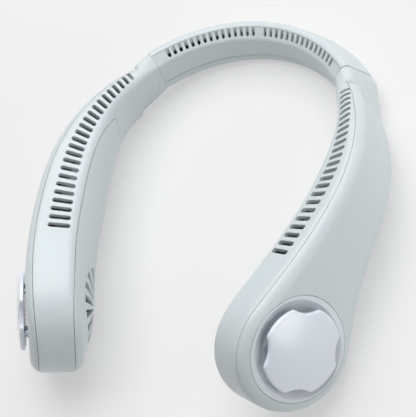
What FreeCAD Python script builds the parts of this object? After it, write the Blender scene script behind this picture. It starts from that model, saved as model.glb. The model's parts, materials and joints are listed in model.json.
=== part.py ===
import FreeCAD, Part
import math
import os

# Neck fan: a U-shaped collar. A curved neck band at the back carries two arms on hinged,
# ribbed soft joints. Each arm ends in a round pod with a centrifugal blower that draws air
# round a scalloped cap and through an inner grille, and blows it out of the slots on top.
#
# Three frames are used. The collar frame has the slot line of the collar in its XY plane,
# X to the right, Y to the back of the neck and Z up. The arm frame belongs to the right arm:
# origin on the outer face at the fan axis, x forward along the arm, y outward along the fan
# axis, z up. The left arm is its mirror image. The rest frame is the finished part on a table.

Vector = FreeCAD.Vector

# Pose of the arm frame in the collar frame
arm_yaw = -25.0            # turn of the fan axis towards the front, degrees
arm_lean = 21.0            # upward lean of the fan axis, degrees
arm_origin_x = 74.2
arm_origin_y = -115.1
arm_origin_z = -28.8

# Arm outline in side view
pod_radius = 31.0
brow_angle = 80.0          # where the slotted upper edge leaves the pod circle, degrees
brow_height = 33.4         # upper edge above the fan axis
top_sweep_radius = 370.0   # rise of the upper edge towards the shoulder
top_knot_shares = (0.18, 0.43, 0.72)
belly_angle = 232.0        # where the lower edge leaves the pod circle, degrees
belly_dip = 12.0           # lower edge below the fan axis just behind the pod
belly_dip_run = 35.0
belly_slope_share = 0.345  # rise of the lower edge per length towards the shoulder
belly_sweep_radius = 1150.0

# Arm in plan view
pod_bow_radius = 224.0
pod_bow_run = 68.9
shoulder_bow_radius = 90.0
arm_run = 140.0            # along the outer face from the fan axis to the shoulder end
arm_overrun = 18.0
tip_overrun = 11.0
pod_depth = 33.2           # thickness of the pod on the fan axis

# Arm thickness along the run, as shares of pod_depth: upper rim, crown, lower rim
station_run_shares = (-1.0, -0.71, -0.36, 0.0, 0.15, 0.34, 0.53, 0.72, 0.87, 1.0, 1.12)
upper_rim_shares = (0.24, 0.34, 0.49, 0.60, 0.61, 0.60, 0.56, 0.46, 0.38, 0.33, 0.32)
crown_shares = (0.70, 0.80, 0.93, 0.985, 0.985, 0.97, 0.91, 0.75, 0.52, 0.38, 0.36)
lower_rim_shares = (0.24, 0.34, 0.49, 0.62, 0.72, 0.80, 0.79, 0.64, 0.41, 0.26, 0.24)
inner_seam_shares = (0.62, 0.65, 0.69, 0.72, 0.72, 0.71, 0.66, 0.57, 0.50, 0.46, 0.45)
dome_overreach_share = 1.3

# Shells
wall = 2.0
outer_round = 7.0
inner_round = 5.0
seam_gap = 0.18
outer_seam_depth = 3.6
inner_cover_run = 112.0    # where the inner cover of the arm ends

# Air slots
arm_slot_count = 24
arm_slot_first_run = 134.0
arm_slot_pitch_shoulder = 3.6
arm_slot_pitch_pod = 5.2
arm_slot_length_shoulder = 5.6
arm_slot_length_pod = 11.2
arm_slot_margin_shoulder = 3.6
arm_slot_margin_pod = 9.2
arm_slot_width_share = 0.50   # of the local pitch
neck_slot_count = 15       # on each side of the plain middle
neck_slot_pitch = 3.5
neck_slot_length = 5.8
neck_slot_width = 1.7
neck_slot_margin = 2.6

# Neck band: a section in radius and height, turned about an upright axis
slot_line_radius = 72.0
neck_axis_y = -17.6
neck_end_angle = 49.0      # half the angle of the band
neck_outer_top_reach = 1.4   # beyond the slot line
neck_outer_top_rise = 1.0
neck_outer_foot_reach = 16.0
neck_outer_foot_drop = 21.5
neck_inner_foot_reach = -4.5
neck_inner_foot_drop = 26.0
neck_inner_top_reach = -6.0
neck_inner_top_drop = 6.0
neck_rounds = (3.0, 6.5, 4.5, 2.4)   # outer top, outer foot, inner foot, inner top
least_round = 0.6
harness_radius = 1.5
harness_clearance = 0.4
harness_end_margin = 9.0     # degrees short of the band's end

# Shoulder joint
joint_rib_count = 5
joint_end_gap = 0.3
joint_crest_inset = 0.25
joint_valley_inset = 0.85
joint_wall = 0.75
joint_round = 4.0
pin_radius = 1.5
pin_head_radius = 2.3
pin_head_height = 1.0
pin_clearance = 0.05
eye_radius = 3.1
tongue_height = 6.0
ear_height = 2.4
hinge_gap = 0.3
collar_length = 8.0
collar_wall = 1.4
collar_clearance = 0.15
web_width = 2.6
hinge_reach = 5.2            # from the axis to the foot of an ear or tongue

# Inlet: dish ring and scalloped cap on the outer face
ring_radius = 25.3
dish_rim_width = 0.9
dish_floor_radius = 16.8
dish_depth = 4.8
dish_sag_share = 0.6
dish_wall = 1.6
inlet_radius = 12.8
lip_width = 1.9
lip_height = 1.2
lip_depth = 4.3
cap_radius = 20.4
cap_underside = 1.2
cap_rim_height = 2.0
cap_crown = 2.2
cap_edge_round = 1.0
cap_corner_round = 2.0
scallop_count = 4
scallop_start = 45.0         # degrees from the arm's run
scallop_radius = 15.0
scallop_bite = 2.7
post_circle = 15.2
post_radius = 1.3

# Blower and motor on the fan axis
housing_radius = 23.2
housing_wall = 1.2
housing_depth = 16.8
outlet_half_angle = 42.0
rear_inlet_radius = 16.0
spoke_count = 3
spoke_width = 3.0
impeller_radius = 19.6
impeller_end_gap = 0.8
blade_count = 24
blade_inner_radius = 13.6
blade_thickness = 0.8
blade_sweep = 26.0           # lag of a blade's inner edge, degrees
plate_thickness = 1.0
end_ring_width = 1.2
end_ring_height = 1.0
hub_radius = 10.6
hub_wall = 1.0
magnet_thickness = 1.2
air_gap = 0.5
stator_height = 6.5
stator_slot_count = 9
stator_slot_width = 1.5
stator_slot_length = 3.0
bearing_tube_radius = 2.9
bearing_radius = 2.2
shaft_radius = 1.0
shaft_clearance = 0.05
boss_radius = 6.5
boss_height = 1.4
housing_screw_head_radius = 1.6
housing_screw_head_height = 0.9
housing_screw_radius = 0.8
housing_screw_reach = 2.0
rest_post_radius = 1.4
rest_post_circle = 21.8

# Inner grille
grille_slot_count = 16
grille_inner_radius = 5.0
grille_outer_radius = 20.0
grille_slot_inner_width = 1.0
grille_slot_outer_width = 4.2

# Battery in each arm
battery_length = 34.0
battery_height = 20.0
battery_depth = 7.5
battery_round = 1.5
battery_run = 68.0
battery_rise = 21.0
battery_inset = 13.2
pad_length = 28.0
pad_height = 14.0

# Controls in the left arm
board_run = 52.0
board_rise = 13.5
board_length = 27.0
board_height = 18.0
board_thickness = 1.2
board_depth = 6.8
board_post_radius = 1.7
board_post_inset = 2.4
board_screw_radius = 0.7
board_screw_head_radius = 1.3
board_screw_head_height = 0.8
button_radius = 4.6
button_proud = 0.5
button_gap = 0.25
button_flange_width = 1.0
button_flange_height = 0.8
button_flange_gap = 0.3
button_travel = 0.8
button_offset = 5.0
switch_size = 6.0
switch_height = 2.4
plunger_radius = 1.5
plunger_gap = 0.2
plunger_stroke_room = 1.9
lens_count = 4
lens_radius = 0.9
lens_pitch = 3.6
lens_offset = -8.0
lens_clearance = 0.05

# Charging socket under the left pod
socket_angle = 255.0         # on the pod's side, degrees
socket_depth = 12.0
socket_width = 8.9
socket_height = 3.2
socket_length = 5.0
socket_wall = 0.35
socket_recess = 0.3
socket_tongue_width = 6.7
socket_tongue_height = 0.7
socket_clearance = 0.15
charge_board_width = 12.0
charge_board_length = 3.4
charge_board_thickness = 0.8

rest_pitch_limit = 30.0      # steepest tip onto the table that is tried, degrees
rest_pitch_steps = 14

cut_overrun = 60.0
full_turn = 360.0
quarter_turn = 90.0


def rotate_about_y(shape, angle):
    """Turn a copy of a shape about the fan axis."""
    turned = shape.copy()
    turned.rotate(Vector(), Vector(0, 1, 0), angle)
    return turned


def ring_of(shape, count, start=0.0):
    """Copies of a shape spaced evenly about the fan axis."""
    step = full_turn / count
    return [rotate_about_y(shape, start + step * index) for index in range(count)]


def fuse_all(shapes):
    return shapes[0].multiFuse(shapes[1:]).removeSplitter()


def drum(radius, low, high):
    """Cylinder on the fan axis between two heights."""
    return Part.makeCylinder(radius, high - low, Vector(0, low, 0), Vector(0, 1, 0))


def tube(outer, inner, low, high):
    return drum(outer, low, high).cut(drum(inner, low, high))


def box_between(low, high):
    size = high.sub(low)
    return Part.makeBox(size.x, size.y, size.z, low)


def stadium(length, width, height):
    """Slot-shaped prism: length along X from the origin, width along Y, height about Z."""
    half = width / 2
    run = length - width
    block = Part.makeBox(run, width, height, Vector(half, -half, -height / 2))
    ends = [Part.makeCylinder(half, height, Vector(x, 0, -height / 2)) for x in (half, half + run)]
    return block.fuse(ends).removeSplitter()


def inset_polygon(points, inset):
    """Corners of a convex polygon, listed clockwise, after each side moves inwards."""
    count = len(points)
    lines = []
    for index in range(count):
        ax, ay = points[index]
        bx, by = points[(index + 1) % count]
        length = math.hypot(bx - ax, by - ay)
        nx, ny = (by - ay) / length, (ax - bx) / length
        lines.append((nx, ny, nx * ax + ny * ay + inset))
    corners = []
    for index in range(count):
        a1, b1, c1 = lines[index - 1]
        a2, b2, c2 = lines[index]
        det = a1 * b2 - a2 * b1
        corners.append(((c1 * b2 - c2 * b1) / det, (a1 * c2 - a2 * c1) / det))
    return corners


def rounded_wire(corners, rounds):
    """Closed wire of lines and arcs through space corners."""
    count = len(corners)
    starts, ends, arcs = [], [], []
    for index in range(count):
        corner = corners[index]
        back = corners[index - 1].sub(corner).normalize()
        ahead = corners[(index + 1) % count].sub(corner).normalize()
        half = back.getAngle(ahead) / 2
        radius = rounds[index]
        reach = radius / math.tan(half)
        middle = back.add(ahead).normalize()
        start = corner.add(Vector(back).multiply(reach))
        end = corner.add(Vector(ahead).multiply(reach))
        crest = corner.add(Vector(middle).multiply(radius / math.sin(half) - radius))
        starts.append(start)
        ends.append(end)
        arcs.append(Part.Arc(start, crest, end).toShape())
    edges = []
    for index in range(count):
        edges.append(arcs[index])
        edges.append(Part.makeLine(ends[index], starts[(index + 1) % count]))
    return Part.Wire(edges)


# Arm: plan and side outlines

def plan_turn(run):
    """Turn of the outer face, in radians, at a run from the fan axis towards the shoulder."""
    if run <= pod_bow_run:
        return run / pod_bow_radius
    return pod_bow_run / pod_bow_radius + (run - pod_bow_run) / shoulder_bow_radius


def plan_point(run, depth):
    """Point in plan at a run along the outer face and a depth behind it."""
    turn = plan_turn(run)
    first = min(turn, pod_bow_run / pod_bow_radius)
    x = -pod_bow_radius * math.sin(first)
    y = pod_bow_radius * (math.cos(first) - 1)
    if run > pod_bow_run:
        x += shoulder_bow_radius * (math.sin(first) - math.sin(turn))
        y += shoulder_bow_radius * (math.cos(turn) - math.cos(first))
    return x + depth * math.sin(turn), y - depth * math.cos(turn)


def station(run, depth, rise):
    """Placement on the arm: x forward along the face, y outward, z up."""
    x, y = plan_point(run, depth)
    turn = math.degrees(plan_turn(run))
    return FreeCAD.Placement(Vector(x, y, rise), FreeCAD.Rotation(Vector(0, 0, 1), turn))


def placed(shape, placement):
    moved = shape.copy()
    moved.Placement = placement.multiply(moved.Placement)
    return moved


def station_runs():
    """Runs of the thickness stations: ahead of the fan axis they follow the pod's radius."""
    ahead = pod_radius + tip_overrun
    return [share * (arm_run if share > 0 else ahead) for share in station_run_shares]


def top_height(x, inset=0.0):
    return brow_height - inset + x * x / (2 * top_sweep_radius)


def belly_height(x, inset=0.0):
    lift = inset / math.cos(math.atan(belly_slope_share))
    run = -belly_dip_run - x
    return lift - belly_dip + belly_slope_share * run + run * run / (2 * belly_sweep_radius)


def plan_curve(depth_at):
    """Smooth curve in plan, below the arm, at a depth given for each run."""
    points = [Vector(*plan_point(run, depth_at(run)), -cut_overrun * 2) for run in station_runs()]
    curve = Part.BSplineCurve()
    curve.interpolate(Points=points)
    return curve


def plan_band(near, far):
    """Tall band between two depths given for each run."""
    low, high = plan_curve(near), plan_curve(far)
    edges = [low.toShape(), Part.makeLine(low.EndPoint, high.EndPoint), high.toShape()]
    edges.append(Part.makeLine(high.StartPoint, low.StartPoint))
    wire = Part.Wire(Part.__sortEdges__(edges))
    return Part.Face(wire).extrude(Vector(0, 0, cut_overrun * 4))


def side_prism(inset):
    """Side outline of the arm: pod circle, swept upper edge and lower edge, cut wide."""
    radius = pod_radius - inset
    far = -(arm_run + arm_overrun)
    angle = math.radians(belly_angle)
    leave = Vector(radius * math.cos(angle), 0, radius * math.sin(angle))
    brow = math.radians(brow_angle)
    crown = Vector(radius * math.cos(brow), 0, radius * math.sin(brow))
    knots = [far * share for share in top_knot_shares] + [far]
    rises = [Vector(x, 0, top_height(x, inset)) for x in knots]
    top = Part.BSplineCurve()
    start = Vector(-math.sin(brow), 0, math.cos(brow)).multiply(-rises[0].x)
    end = Vector(-1, 0, -far / top_sweep_radius).multiply(-rises[0].x)
    top.interpolate(Points=[crown] + rises, InitialTangent=start, FinalTangent=end)
    pod = Part.Arc(crown, Vector(radius, 0, 0), leave)
    belly = Part.BSplineCurve()
    knots = [-belly_dip_run, (far - belly_dip_run) / 2, far]
    points = [leave] + [Vector(x, 0, belly_height(x, inset)) for x in knots]
    start = Vector(math.sin(angle), 0, -math.cos(angle)).multiply(belly_dip_run)
    end = Vector(-1, 0, belly_slope_share - (far + belly_dip_run) / belly_sweep_radius)
    end.multiply(belly_dip_run)
    belly.interpolate(Points=points, InitialTangent=start, FinalTangent=end)
    close = Part.makeLine(points[-1], rises[-1])
    wire = Part.Wire(Part.__sortEdges__([top.toShape(), pod.toShape(), belly.toShape(), close]))
    prism = Part.Face(wire).extrude(Vector(0, -cut_overrun * 4, 0))
    prism.translate(Vector(0, cut_overrun, 0))
    return prism


def rim_depths(index):
    """Depth of the upper rim, crown and lower rim at a thickness station."""
    shares = (upper_rim_shares[index], crown_shares[index], lower_rim_shares[index])
    return [share * pod_depth for share in shares]


def inner_seam(run):
    """Depth of the inner cover's seam at one of the stations' runs."""
    return inner_seam_shares[station_runs().index(run)] * pod_depth


def dome_section(index, inset):
    """Closed section of the space behind the domed inner face at one station."""
    run = station_runs()[index]
    upper, crown, lower = rim_depths(index)
    x = plan_point(run, upper)[0]
    top = top_height(x) if run > 0 else brow_height
    foot = max(belly_height(x), -pod_radius) if run > 0 else -pod_radius
    half = (top - foot) / 2
    middle = (top + foot) / 2
    slope = (upper - lower) / 2
    bend = (upper + lower) / 2 - crown

    def point(share):
        height = middle + half * share
        depth = crown + slope * share + bend * share * share - inset
        return Vector(*plan_point(run, depth), height)

    high, low = point(dome_overreach_share), point(-dome_overreach_share)
    far_x, far_y = plan_point(run, pod_depth + cut_overrun)
    far_high = Vector(far_x, far_y, high.z + cut_overrun)
    far_low = Vector(far_x, far_y, low.z - cut_overrun)
    edges = [Part.Arc(high, point(0), low).toShape()]
    edges.append(Part.makeLine(low, far_low))
    edges.append(Part.makeLine(far_low, far_high))
    edges.append(Part.makeLine(far_high, high))
    return Part.Wire(edges)


def rim_edges(face):
    """Long edges round a face of the arm, without the shoulder end."""
    shoulder = -(arm_run - outer_round * 4)
    return [edge for edge in face.Edges if edge.BoundBox.XMax > shoulder]


def arm_body(inset):
    """Solid arm with rounded rims, every face moved inwards by an inset."""
    band = plan_band(lambda run: inset, lambda run: pod_depth + cut_overrun / 2)
    blank = side_prism(inset).common(band)
    sections = [dome_section(index, inset) for index in range(len(station_run_shares))]
    blank = blank.cut(Part.makeLoft(sections, True, False))
    blank = max(blank.Solids, key=lambda solid: solid.Volume)
    faces = sorted(blank.Faces, key=lambda face: -face.Area)[:2]
    faces.sort(key=lambda face: -face.CenterOfMass.y)
    centres = [edge.CenterOfMass for edge in rim_edges(faces[1])]
    body = blank.makeFillet(outer_round - inset, rim_edges(faces[0]))
    inner = [edge for edge in body.Edges
             if any(edge.CenterOfMass.distanceToPoint(centre) < least_round for centre in centres)]
    return body.makeFillet(inner_round - inset, inner)


def shoulder_side(run, side):
    """Large block on one side of the section plane at a run: 1 pod side, -1 shoulder side."""
    size = cut_overrun * 5
    low = Vector(0 if side > 0 else -size, -size, -size)
    high = Vector(size if side > 0 else 0, size, size)
    return placed(box_between(low, high), station(run, 0, 0))


def arm_zones():
    """Prisms of the outer shell and the inner cover, parted from the frame between them."""
    half = seam_gap / 2
    outer = plan_band(lambda run: -cut_overrun / 2, lambda run: outer_seam_depth - half)
    outer_cut = plan_band(lambda run: -cut_overrun / 2, lambda run: outer_seam_depth + half)
    inner = plan_band(lambda run: inner_seam(run) + half, lambda run: pod_depth + cut_overrun / 2)
    inner_cut = plan_band(lambda run: inner_seam(run) - half, lambda run: pod_depth + cut_overrun / 2)
    inner = inner.common(shoulder_side(inner_cover_run - half, 1))
    inner_cut = inner_cut.common(shoulder_side(inner_cover_run + half, 1))
    return outer, outer_cut, inner, inner_cut


def arm_slots():
    """Slot cutters along the upper edge, closer and shorter towards the shoulder."""
    cutters = []
    run = arm_slot_first_run
    for index in range(arm_slot_count):
        share = index / (arm_slot_count - 1)
        eased = 1 - (1 - share) ** 2
        length = arm_slot_length_shoulder + share * (arm_slot_length_pod - arm_slot_length_shoulder)
        margin = arm_slot_margin_shoulder + eased * (arm_slot_margin_pod - arm_slot_margin_shoulder)
        pitch = arm_slot_pitch_shoulder + eased * (arm_slot_pitch_pod - arm_slot_pitch_shoulder)
        x = plan_point(run, margin)[0]
        cutter = stadium(length, pitch * arm_slot_width_share, outer_round * 2)
        cutter.rotate(Vector(), Vector(0, 0, 1), -quarter_turn)
        cutters.append(placed(cutter, station(run, margin, top_height(x))))
        run -= pitch
    return Part.makeCompound(cutters)


def grille_slots():
    """Radial wedge cutters of the inner grille."""
    inner, outer = grille_slot_inner_width / 2, grille_slot_outer_width / 2
    corners = [(grille_inner_radius, -inner), (grille_outer_radius, -outer),
               (grille_outer_radius, outer), (grille_inner_radius, inner)]
    points = [Vector(x, 0, z) for x, z in corners]
    wedge = Part.Face(Part.makePolygon(points + points[:1])).extrude(Vector(0, -cut_overrun, 0))
    wedge.translate(Vector(0, -pod_depth / 2, 0))
    return Part.makeCompound(ring_of(wedge, grille_slot_count))


# Arm: positions along the fan axis, measured inward from the outer face

housing_front = -(dish_depth + dish_wall)
housing_back = housing_front - housing_depth
impeller_front = housing_front - housing_wall - impeller_end_gap
impeller_back = housing_back + housing_wall + impeller_end_gap
hub_inner_radius = hub_radius - hub_wall
magnet_inner_radius = hub_inner_radius - magnet_thickness
stator_radius = magnet_inner_radius - air_gap


def rest_posts(body):
    """Posts inside the inner cover that carry the blower housing."""
    post = drum(rest_post_radius, -pod_depth, housing_back)
    post.translate(Vector(rest_post_circle, 0, 0))
    posts = Part.makeCompound(ring_of(post, spoke_count, full_turn / spoke_count / 4))
    return posts.common(body)


def arm_shells():
    """Outer shell, slotted frame and inner cover of one arm."""
    body = arm_body(0.0)
    cavity = arm_body(wall)
    half = joint_end_gap / 2
    pod_side = shoulder_side(arm_run - half, 1)
    shell = body.cut(cavity).common(pod_side)
    outer_zone, outer_cut, inner_zone, inner_cut = arm_zones()
    outer = shell.common(outer_zone).cut(drum(ring_radius + seam_gap / 2, -pod_depth, cut_overrun))
    frame = shell.cut(outer_cut).cut(inner_cut).cut(arm_slots())
    inner = shell.common(inner_zone).fuse(rest_posts(body))
    inner = inner.cut(grille_slots())
    return {"outer_shell": outer, "slot_frame": frame, "inner_cover": inner}, body, cavity


def inlet_ring(body):
    """Dish ring round the inlet, trimmed flush with the outer face."""
    edge = ring_radius - seam_gap / 2
    brim = edge - dish_rim_width
    floor = -dish_depth
    sag = Vector((brim + dish_floor_radius) / 2 - dish_wall / 2, -dish_depth * dish_sag_share, 0)
    top = Part.Arc(Vector(brim, 0, 0), sag, Vector(dish_floor_radius, floor, 0)).toShape()
    corners = [(dish_floor_radius, floor), (inlet_radius, floor), (inlet_radius, housing_front),
               (dish_floor_radius + dish_wall, housing_front), (edge - dish_wall, -lip_depth - lip_height),
               (edge + lip_width, -lip_depth - lip_height), (edge + lip_width, -lip_depth),
               (edge, -lip_depth), (edge, 0), (brim, 0)]
    side = Part.makePolygon([Vector(x, y, 0) for x, y in corners])
    ring = Part.Face(Part.Wire([top] + side.Edges)).revolve(Vector(), Vector(0, 1, 0), full_turn)
    ring = ring.common(body)
    hole = drum(housing_screw_radius, housing_front, floor)
    hole.translate(Vector(post_circle, 0, 0))
    return ring.cut(Part.makeCompound(ring_of(hole, scallop_count, scallop_start)))


def inlet_cap():
    """Domed cap with four scallops, on posts that stand on the dish floor."""
    rim = cap_underside + cap_rim_height
    dome_radius = (cap_radius ** 2 + cap_crown ** 2) / (2 * cap_crown)
    centre = Vector(0, rim + cap_crown - dome_radius, 0)
    disc = drum(cap_radius, cap_underside, rim + cap_crown * 2)
    bite = drum(scallop_radius, 0, rim + cap_crown * 2)
    bite.translate(Vector(cap_radius - scallop_bite + scallop_radius, 0, 0))
    disc = disc.cut(Part.makeCompound(ring_of(bite, scallop_count, scallop_start)))
    scallops = [face for face in disc.Faces if getattr(face.Surface, "Radius", 0) == scallop_radius]
    corners = [edge for face in scallops for edge in face.Edges if edge.BoundBox.YLength > cap_rim_height]
    disc = disc.makeFillet(cap_corner_round, corners)
    disc = disc.common(Part.makeSphere(dome_radius, centre))
    top = max(disc.Faces, key=lambda face: face.CenterOfMass.y)
    disc = disc.makeFillet(cap_edge_round, top.Edges)
    post = drum(post_radius, -dish_depth, cap_underside + cap_rim_height / 2)
    post.translate(Vector(post_circle, 0, 0))
    return disc.fuse(ring_of(post, scallop_count)).removeSplitter()


def blower_housing():
    """Scroll housing: front plate, wall open to the arm, and a spoked rear plate."""
    inner = housing_radius - housing_wall
    front = tube(housing_radius, inlet_radius, housing_front - housing_wall, housing_front)
    rear = tube(housing_radius, rear_inlet_radius, housing_back, housing_back + housing_wall)
    side = tube(housing_radius, inner, housing_back, housing_front)
    reach = housing_radius * 2
    spread = reach * math.tan(math.radians(outlet_half_angle))
    mouth = [Vector(0, 0, 0), Vector(-reach, 0, spread), Vector(-reach, 0, -spread), Vector(0, 0, 0)]
    outlet = Part.Face(Part.makePolygon(mouth)).extrude(Vector(0, 2 * housing_wall - housing_depth, 0))
    outlet.translate(Vector(0, housing_front - housing_wall, 0))
    spoke = box_between(Vector(0, housing_back, -spoke_width / 2),
                        Vector(inner, housing_back + housing_wall, spoke_width / 2))
    boss = drum(boss_radius, housing_back, housing_back + boss_height)
    post = drum(bearing_tube_radius, housing_back, housing_back + boss_height + stator_height)
    housing = fuse_all([front, rear, side.cut(outlet), boss, post]
                       + ring_of(spoke, spoke_count, full_turn / spoke_count / 4))
    bore = drum(bearing_radius, housing_back + boss_height / 2, 0)
    holes = drum(housing_screw_radius, housing_front - housing_wall, housing_front)
    holes.translate(Vector(post_circle, 0, 0))
    return housing.cut(Part.makeCompound([bore] + ring_of(holes, scallop_count, scallop_start)))


def housing_screws():
    """Screws through the dish floor into the housing's front plate."""
    length = dish_wall + housing_wall
    shank = drum(housing_screw_radius - shaft_clearance, -dish_depth - length, -dish_depth)
    head = drum(housing_screw_head_radius, -dish_depth, -dish_depth + housing_screw_head_height)
    screw = shank.fuse(head).removeSplitter()
    screw.translate(Vector(post_circle, 0, 0))
    return Part.makeCompound(ring_of(screw, scallop_count, scallop_start))


def impeller():
    """Double-inlet blower wheel: hub cup, mid plate, swept blades and two end rings."""
    middle = (impeller_front + impeller_back) / 2
    hub = tube(hub_radius, hub_inner_radius, impeller_back, impeller_front)
    lid = tube(hub_radius, shaft_radius, impeller_front - hub_wall, impeller_front)
    plate = tube(impeller_radius, hub_inner_radius, middle - plate_thickness / 2, middle + plate_thickness / 2)
    ring_inner = impeller_radius - end_ring_width
    rings = [tube(impeller_radius, ring_inner, impeller_front - end_ring_height, impeller_front),
             tube(impeller_radius, ring_inner, impeller_back, impeller_back + end_ring_height)]
    lag = math.radians(blade_sweep)
    tip = Vector(impeller_radius - blade_thickness / 2, impeller_back, 0)
    root = Vector(blade_inner_radius * math.cos(lag), impeller_back, blade_inner_radius * math.sin(lag))
    chord = root.sub(tip)
    side = Vector(-chord.z, 0, chord.x).normalize().multiply(blade_thickness / 2)
    corners = [tip.add(side), root.add(side), root.sub(side), tip.sub(side)]
    blade = Part.Face(Part.makePolygon(corners + corners[:1]))
    blade = blade.extrude(Vector(0, impeller_front - impeller_back, 0))
    return fuse_all([hub, lid, plate] + rings + ring_of(blade, blade_count))


def magnet_ring():
    high = impeller_front - hub_wall - air_gap
    return tube(hub_inner_radius, magnet_inner_radius, impeller_back + air_gap, high)


def motor_shaft():
    return drum(shaft_radius, housing_back + boss_height, impeller_front)


def shaft_bearing():
    high = housing_back + boss_height + stator_height
    return tube(bearing_radius, shaft_radius + shaft_clearance, housing_back + boss_height / 2, high)


def motor_stator():
    """Stator stack with winding slots, on the housing's bearing tube."""
    low = housing_back + boss_height
    stack = tube(stator_radius, bearing_tube_radius, low, low + stator_height)
    slot = box_between(Vector(stator_radius - stator_slot_length, low, -stator_slot_width / 2),
                       Vector(stator_radius + stator_slot_length, low + stator_height, stator_slot_width / 2))
    return stack.cut(Part.makeCompound(ring_of(slot, stator_slot_count)))


def battery_cell():
    half = Vector(battery_length / 2, 0, battery_height / 2)
    cell = box_between(Vector(-half.x, -battery_depth, -half.z), half)
    upright = [edge for edge in cell.Edges if edge.BoundBox.YLength > battery_depth / 2]
    cell = cell.makeFillet(battery_round, upright)
    return placed(cell, station(battery_run, battery_inset, battery_rise))


def battery_pad(cavity):
    """Foam pad between the battery and the inner cover, shaped by the cover."""
    half = Vector(pad_length / 2, -battery_depth, pad_height / 2)
    block = box_between(Vector(-half.x, -pod_depth, -half.z), half)
    return placed(block, station(battery_run, battery_inset, battery_rise)).common(cavity)


# Left arm: controls and charging

def board_point(x, depth, z):
    """Placement beside the control board's middle, at a depth behind the outer face."""
    local = FreeCAD.Placement(Vector(x, -depth, z), FreeCAD.Rotation())
    return station(board_run, 0, board_rise).multiply(local)


def board_corners():
    x = board_length / 2 - board_post_inset
    z = board_height / 2 - board_post_inset
    return [(x, z), (-x, z), (-x, -z), (x, -z)]


def board_pegs(radius, low, high):
    """Pegs at the board's corners between two depths."""
    pegs = [placed(drum(radius, -high, -low), board_point(x, 0, z)) for x, z in board_corners()]
    return Part.makeCompound(pegs)


def fit_controls(outer, cavity):
    """Outer shell of the left arm with the button and lens holes and the board's posts."""
    posts = board_pegs(board_post_radius, wall / 2, board_depth).common(cavity)
    bores = board_pegs(board_screw_radius, wall + lens_radius, board_depth)
    hole = placed(drum(button_radius + button_gap, -wall * 2, wall * 2), board_point(button_offset, 0, 0))
    lens = drum(lens_radius + lens_clearance, -wall * 2, wall * 2)
    lens_holes = [placed(lens, board_point(lens_offset, 0, z)) for z in lens_rises()]
    shell = outer.fuse(posts.Solids).removeSplitter()
    return shell.cut(Part.makeCompound([hole, bores] + lens_holes))


def lens_rises():
    return [lens_pitch * (index - (lens_count - 1) / 2) for index in range(lens_count)]


def control_parts():
    """Board, screws, switch, plunger, button and lenses of the left arm."""
    half = Vector(board_length / 2, 0, board_height / 2)
    board = box_between(Vector(-half.x, -board_thickness, -half.z), half)
    board = placed(board, board_point(0, board_depth, 0))
    board = board.cut(board_pegs(board_screw_radius, board_depth, board_depth + board_thickness))
    back = board_depth + board_thickness
    shank = board_pegs(board_screw_radius - shaft_clearance, wall + lens_radius, back)
    heads = board_pegs(board_screw_head_radius, back, back + board_screw_head_height)
    screws = [a.fuse(b).removeSplitter() for a, b in zip(shank.Solids, heads.Solids)]

    switch_top = board_depth - switch_height
    size = switch_size / 2
    switch = box_between(Vector(-size, -switch_height, -size), Vector(size, 0, size))
    switch = placed(switch, board_point(button_offset, switch_top, 0))
    well = drum(plunger_radius + plunger_gap, -switch_top - plunger_stroke_room, 0)
    switch = switch.cut(placed(well, board_point(button_offset, 0, 0)))

    flange_top = wall + button_flange_gap
    flange_back = flange_top + button_flange_height
    knob = drum(button_radius, -flange_back, button_proud)
    flange = drum(button_radius + button_flange_width, -flange_back, -flange_top)
    button = placed(knob.fuse(flange).removeSplitter(), board_point(button_offset, 0, 0))
    reach = switch_top + plunger_stroke_room - button_travel - plunger_gap
    plunger = placed(drum(plunger_radius, -reach, -flange_back), board_point(button_offset, 0, 0))

    lens = drum(lens_radius, -board_depth, 0)
    lenses = [placed(lens, board_point(lens_offset, 0, z)) for z in lens_rises()]
    return {"control_board": board, "board_screws": Part.makeCompound(screws), "tactile_switch": switch,
            "switch_plunger": plunger, "power_button": button, "status_lenses": Part.makeCompound(lenses)}


def socket_block(width, height, near, far):
    """Round-sided block across the pod's side wall between two radii."""
    block = stadium(width, height, far - near)
    block.translate(Vector(-width / 2, 0, (near + far) / 2))
    block.rotate(Vector(), Vector(0, 0, 1), quarter_turn)
    block.rotate(Vector(), Vector(0, 1, 0), quarter_turn - socket_angle)
    block.translate(Vector(0, -socket_depth, 0))
    return block


def charge_parts():
    """Charging socket in the side wall of the left pod, and the small board that holds it."""
    mouth = pod_radius - socket_recess
    foot = mouth - socket_length
    can = socket_block(socket_width, socket_height, foot, mouth)
    room = socket_block(socket_width - 2 * socket_wall, socket_height - 2 * socket_wall,
                        foot + socket_wall, mouth + wall)
    tongue = box_between(Vector(-socket_tongue_height / 2, -socket_tongue_width / 2, foot),
                         Vector(socket_tongue_height / 2, socket_tongue_width / 2, mouth - socket_wall * 2))
    tongue.rotate(Vector(), Vector(0, 1, 0), quarter_turn - socket_angle)
    tongue.translate(Vector(0, -socket_depth, 0))
    socket = can.cut(room).fuse(tongue).removeSplitter()
    side = socket_height / 2
    low = Vector(side, -charge_board_width / 2, foot - charge_board_thickness)
    board = box_between(low, low.add(Vector(charge_board_thickness, charge_board_width, charge_board_length)))
    board.rotate(Vector(), Vector(0, 1, 0), quarter_turn - socket_angle)
    board.translate(Vector(0, -socket_depth, 0))
    clear = 2 * socket_clearance
    hole = socket_block(socket_width + clear, socket_height + clear, foot, mouth + wall * 2)
    return {"charging_socket": socket, "charge_board": board}, hole


# Neck band

def neck_section(inset):
    """Corners of the band's section, as radius and height, clockwise from the outer top."""
    corners = [(slot_line_radius + neck_outer_top_reach, neck_outer_top_rise),
               (slot_line_radius + neck_outer_foot_reach, -neck_outer_foot_drop),
               (slot_line_radius + neck_inner_foot_reach, -neck_inner_foot_drop),
               (slot_line_radius + neck_inner_top_reach, -neck_inner_top_drop)]
    return inset_polygon(corners, inset)


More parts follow.
